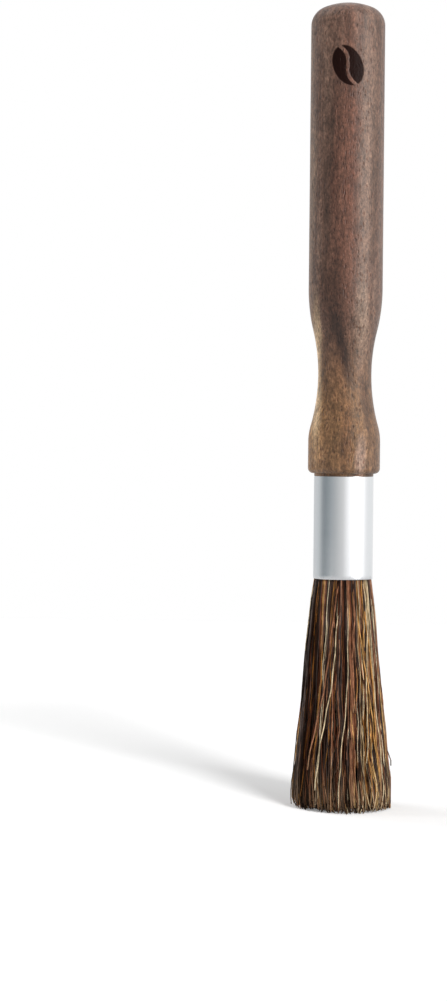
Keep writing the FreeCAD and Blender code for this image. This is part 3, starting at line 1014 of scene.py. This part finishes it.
    def guard_paths(self, run: np.ndarray) -> np.ndarray:
        """Middle lines of the long strands, which rise from the face of the tuft and lie on it."""
        first = np.array([[g.start_azimuth, g.start] for g in self.guards])
        last = np.array([[g.tip_azimuth, g.tip] for g in self.guards])
        phase = self.chance.uniform(0, 2 * math.pi, (len(self.guards), 1))
        wave = sum(size * np.sin(2 * math.pi * waves * run[None, :] + way * phase)
                   for size, waves, way in self.guard_waves)
        azimuth = np.radians(first[:, :1] + (last[:, :1] - first[:, :1]) * run**1.1 + wave)
        height = first[:, 1:] + (last[:, 1:] - first[:, 1:]) * run
        surface = np.sin(math.pi * np.clip(run * 1.6, 0, 0.5))
        reach = self.outline(height) - self.guard_sunk + self.guard_rise * surface
        reach = np.minimum(reach, self.widest - self.guard_margin)
        return np.stack((reach * np.sin(azimuth), -reach * np.cos(azimuth), height), axis=2)

    def shades(self, roots: np.ndarray, clump: np.ndarray) -> np.ndarray:
        """Colour of each strand, mostly its clump's; more gold to the right is partly painted
        light.

        Args:
            roots: x and y of each root.
            clump: number of each strand's clump.

        Returns:
            Place of each strand's shade in the mix.
        """
        chance = self.chance
        share = np.cumsum([part for _, part in self.mix])
        common, own = chance.random(self.clumps)[clump], chance.random(len(roots))
        pick = np.where(chance.random(len(roots)) < self.common_share, common, own)
        # more gold to the right: partly the real colour, partly painted light on the lamps' side
        pick = np.clip(pick + self.gold_and_painted_light_to_right * roots[:, 0] / self.root_radius, 0, 0.999)
        return np.searchsorted(share / share[-1], pick, side="right")

    def tones(self, roots: np.ndarray, clump: np.ndarray) -> np.ndarray:
        """Lightness of each strand: its draw times its clump's, with painted shade inside.

        Args:
            roots: x and y of each root.
            clump: number of each strand's clump.

        Returns:
            A tone from 0 to 1 for each strand, and then for each long strand.
        """
        rim = np.linalg.norm(roots, axis=1) / self.root_radius
        lit = self.chance.uniform(*self.clump_light, self.clumps)[clump]
        # painted shade: strands further inside, seen only through gaps, are darker
        lit *= self.painted_inner_shade + (1 - self.painted_inner_shade) * rim**4
        # painted light: the left side a little lighter, the right a little darker
        lit *= self.middle_light - self.painted_light_to_left * roots[:, 0] / self.root_radius
        own = self.chance.uniform(*self.tone, len(roots))
        guards = self.chance.uniform(*self.guard_tone, len(self.guards))
        return np.concatenate((np.clip(own * lit, 0, 1), guards))

    def tubes(
        self, lines: np.ndarray, run: np.ndarray, thickness: np.ndarray
    ) -> tuple[np.ndarray, list[list[int]]]:
        """Carries a small polygon along each line: p + a (cos f, sin f), a thinner to the tip.

        Args:
            lines: points by strand and row.
            run: share of the way from root to tip, by row.
            thickness: half width of each strand at its root.

        Returns:
            The points, and the vertex numbers of each face, both ends closed.
        """
        count, rows, sides = len(lines), self.rows, self.sides
        half = thickness[:, None] * (1 - (1 - self.tip_share) * run**2.5)
        angle = np.arange(sides) * (2 * math.pi / sides) - math.pi / 2
        corner = np.stack((np.cos(angle), np.sin(angle), 0 * angle), axis=1)
        points = lines[:, :, None, :] + half[:, :, None, None] * corner[None, None, :, :]
        start = np.arange(count)[:, None, None] * rows * sides
        one = ring_faces(rows, sides)[:, ::-1]  # the rows go down from root to tip
        around, last = np.arange(sides), (rows - 1) * sides
        ends = np.stack((around, last + around[::-1]))
        faces = (one[None, :, :] + start).reshape(-1, 4).tolist()
        return points.reshape(-1, 3), faces + (ends[None, :, :] + start).reshape(-1, sides).tolist()

    def build(self, finishes: dict[Shade, Material]) -> list[Object]:
        """Makes one piece for each natural colour.

        Args:
            finishes: the material of each shade.

        Returns:
            The pieces.
        """
        lines, roots, clump, run = self.paths()
        shade = self.shades(roots, clump)
        order = [s for s, _ in self.mix]
        lines = np.concatenate((lines, self.guard_paths(run)))
        shade = np.concatenate((shade, [order.index(g.shade) for g in self.guards]))
        thickness = np.concatenate((
            self.chance.uniform(self.thin, self.thick, len(roots)),
            [g.half_width for g in self.guards]))
        tone = self.tones(roots, clump)
        pieces = []
        for number, kind in enumerate(order):
            mine = shade == number
            points, faces = self.tubes(lines[mine], run, thickness[mine])
            piece = new_piece(f"tuft_{kind.slot}", points, faces, finishes[kind])
            values = {
                "tone": np.repeat(tone[mine], self.rows * self.sides),
                "along": np.tile(np.repeat(run, self.sides), int(mine.sum())),
            }
            for name, value in values.items():
                attribute = piece.data.attributes.new(name, "FLOAT", "POINT")
                attribute.data.foreach_set("value", value.astype(np.float32))
            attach(piece, "root")
            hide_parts(*kind.nodes)
            pieces.append(piece)
        return pieces


@dataclass(frozen=True)
class Softbox:
    """Flat rectangular lamp that is aimed at the brush.

    Its azimuth is in degrees to the right of the front, its elevation in degrees, its width,
    height and distance in metres and its power in watts. One that isn't mirrored only lights.
    """

    name: str
    azimuth: float
    elevation: float
    width: float
    height: float
    power: float
    mirrored: bool = True
    distance: float = 3.0

    def lamp(self) -> Light:
        """Makes the lamp itself, still to be placed."""
        lamp = bpy.data.lights.new(self.name, "AREA")
        lamp.shape = "RECTANGLE"
        lamp.size, lamp.size_y, lamp.energy = self.width, self.height, self.power
        return lamp


@dataclass
class Studio:
    """White floor, grey and white surroundings, a key lamp that draws the shadow, and softboxes.

    The right softbox draws the sheen along the handle, the left one its paler rim, and the upper
    one the spot on its crown. Lamps are aimed at a height in metres.
    """

    key_azimuth: float = 29.2
    key_elevation: float = 36.0
    key_strength: float = 2.2
    key_size: float = 15.0
    key_distance: float = 2.0
    aim_height: float = 0.1
    softboxes: tuple[Softbox, ...] = (
        Softbox("softbox_right", 54.0, 12.0, 1.05, 2.75, 15.0),
        Softbox("softbox_left", -125.0, 8.0, 1.25, 2.25, 48.0, mirrored=False),
        Softbox("softbox_upper", -97.0, 54.0, 0.55, 0.55, 8.0),
    )
    fill: float = 0.24
    mirrored: float = 3.0
    floor_reach: float = 560.0
    floor_lift: float = 0.23
    floor_grey: float = 0.8
    surroundings: tuple[tuple[float, str], ...] = (
        (0.0, "#bcbcbc"), (1.0, "#969696"), (0.05, "#838485"), (0.16, "#808283"),
        (0.2, "#7a7d7e"), (0.232, "#6b6e6f"), (0.262, "#585c5e"), (0.29, "#52575a"),
        (0.317, "#565b5d"), (0.367, "#626668"), (0.413, "#6f7172"), (0.457, "#7d7e7e"),
        (0.5, "#888888"), (0.543, "#a2a2a2"), (0.588, "#b4b4b4"), (0.618, "#ffffff"),
        (0.69, "#ffffff"), (0.716, "#b4b4b4"), (0.74, "#adadad"), (0.768, "#9e9e9e"),
        (0.803, "#989999"), (0.9, "#959696"))

    def floor(self) -> None:
        """Lays a flat board that is as white as the background where no shadow falls."""
        paint, tree = new_material("matt_white_board")
        path = add(tree, "LightPath")
        board = add(tree, "BsdfDiffuse", inputs={"Color": grey(self.floor_grey)})
        seen = add(tree, "BsdfDiffuse", inputs={"Color": grey(1.0)})
        glow = add(tree, "Emission", inputs={"Color": grey(1.0), "Strength": self.floor_lift})
        lifted = add(tree, "AddShader", inputs={0: seen, 1: glow})
        shown = add(tree, "MixShader", inputs={
            0: path.outputs["Is Camera Ray"], 1: board, 2: lifted})
        finish_material(tree, shown)
        corners = np.array([[-1, -1, 0], [1, -1, 0], [1, 1, 0], [-1, 1, 0]], float)
        piece = new_piece("floor", corners * self.floor_reach, [[0, 1, 2, 3]], paint)

    def world(self) -> None:
        """Surrounds the brush with a studio that is darkest on its left, with a white window.

        Metal and oil mirror it. The camera sees plain white instead, and all else gets one fill.
        """
        world = bpy.data.worlds.new("studio")
        bpy.context.scene.world = world
        world.use_nodes = True
        tree = world.node_tree
        tree.nodes.clear()
        direction = add(tree, "TexCoord").outputs["Generated"]
        axes = add(tree, "SeparateXYZ", inputs={0: direction})
        front = work_out(tree, "MULTIPLY", axes.outputs[1], -1.0)
        azimuth = work_out(tree, "ARCTAN2", axes.outputs[0], front)
        turn = remap(tree, azimuth, (-math.pi, math.pi))
        around = add(tree, "ValToRGB", inputs={"Fac": turn}, stops=self.surroundings)
        path = add(tree, "LightPath")
        unseen = mixed(tree, path.outputs["Is Glossy Ray"], grey(self.fill),
                       times(tree, around, self.mirrored))
        colour = mixed(tree, path.outputs["Is Camera Ray"], unseen, grey(1.0))
        sky = add(tree, "Background", inputs={"Color": colour, "Strength": 1.0})
        add(tree, "OutputWorld", inputs={"Surface": sky})

    def place_lamp(self, lamp: Light, azimuth: float, elevation: float,
                   distance: float) -> Object:
        """Aims a lamp at the middle of the brush.

        Args:
            lamp: the lamp's data.
            azimuth: degrees to the right of the front.
            elevation: degrees above the floor.
            distance: from the brush, in metres.

        Returns:
            The lamp.
        """
        around, up = math.radians(azimuth), math.radians(elevation)
        away = np.array([math.sin(around) * math.cos(up), -math.cos(around) * math.cos(up),
                         math.sin(up)])
        holder = bpy.data.objects.new(lamp.name, lamp)
        turn = Matrix.Rotation(around, 4, "Z") @ Matrix.Rotation(math.pi / 2 - up, 4, "X")
        place = Matrix.Translation(away * distance + (0, 0, self.aim_height))
        holder.matrix_world = place @ turn
        bpy.context.scene.collection.objects.link(holder)
        return holder

    def lamps(self) -> None:
        """Adds the key, which only lights and isn't mirrored, and the softboxes."""
        key = bpy.data.lights.new("key", "SUN")
        key.energy = self.key_strength
        key.angle = math.radians(self.key_size)
        holder = self.place_lamp(key, self.key_azimuth, self.key_elevation, self.key_distance)
        holder.visible_glossy = False
        for box in self.softboxes:
            holder = self.place_lamp(box.lamp(), box.azimuth, box.elevation, box.distance)
            holder.visible_glossy = box.mirrored

    def build(self) -> None:
        """Sets the whole stage."""
        self.floor()
        self.world()
        self.lamps()
        bpy.context.scene.view_settings.view_transform = "Standard"


@dataclass
class PhotoCamera:
    """Camera at the photograph's viewing angle.

    Its rows and focal length are in pixels of a picture that is 1002 high, its angles in degrees,
    its film in millimetres and what it sees, from near to far, in metres.
    """

    distance: float = 540.0
    height: float = 87.26
    focal_pixels: float = 2214.0
    picture_height: float = 1002.0
    yaw: float = 3.117
    horizon_row: float = 446.9
    roll: float = 0.575
    film: float = 36.0
    seen: tuple[float, float] = (0.01, 50.0)

    def build(self) -> None:
        """Stands a level camera in front of the brush, a little turned and rolled.

        Its film is moved down until the horizon lies on its own row of the picture.
        """
        data = bpy.data.cameras.new("camera")
        data.sensor_fit = "VERTICAL"
        data.sensor_height = self.film
        data.lens = self.focal_pixels * self.film / self.picture_height
        data.shift_y = self.horizon_row / self.picture_height - 0.5
        data.clip_start, data.clip_end = self.seen
        camera = bpy.data.objects.new("camera", data)
        turn = (
            Matrix.Rotation(math.radians(self.yaw), 4, "Z")
            @ Matrix.Rotation(math.pi / 2, 4, "X")
            @ Matrix.Rotation(math.radians(self.roll), 4, "Z")
        )
        place = (0.0, -self.distance * METRE, self.height * METRE)
        camera.matrix_world = Matrix.Translation(place) @ turn
        bpy.context.scene.collection.objects.link(camera)
        bpy.context.scene.camera = camera


def main() -> None:
    """Builds the brush, sets the stage and reports each piece."""
    logging.basicConfig(level=logging.INFO, format="%(name)s: %(message)s")
    pieces = [
        Handle().build(OiledWalnut().material()),
        Ferrule().build(TurnedAluminium().material()),
    ]
    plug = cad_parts["resin_plug"]
    plug.data.materials.clear()
    plug.data.materials.append(CastResin().material())
    bristle = (
        NaturalBristle(Shade.DARK, "#100502", "#2e1a0f", "#544640", "#8b735a"),
        NaturalBristle(Shade.BROWN, "#371a0d", "#70422b", "#a8775a", "#b0916f"),
        NaturalBristle(Shade.GOLDEN, "#6e421a", "#a66f33", "#d0a468", "#c9ab7b"),
        NaturalBristle(Shade.PALE, "#907651", "#c2a984", "#e5d4b1", "#e0cfac"),
    )
    pieces += Tuft().build({finish.shade: finish.material() for finish in bristle})
    for piece in pieces:
        LOG.info("%s: %d faces", piece.name, len(piece.data.polygons))
    Studio().build()
    PhotoCamera().build()


if __name__ == "__main__":
    main()
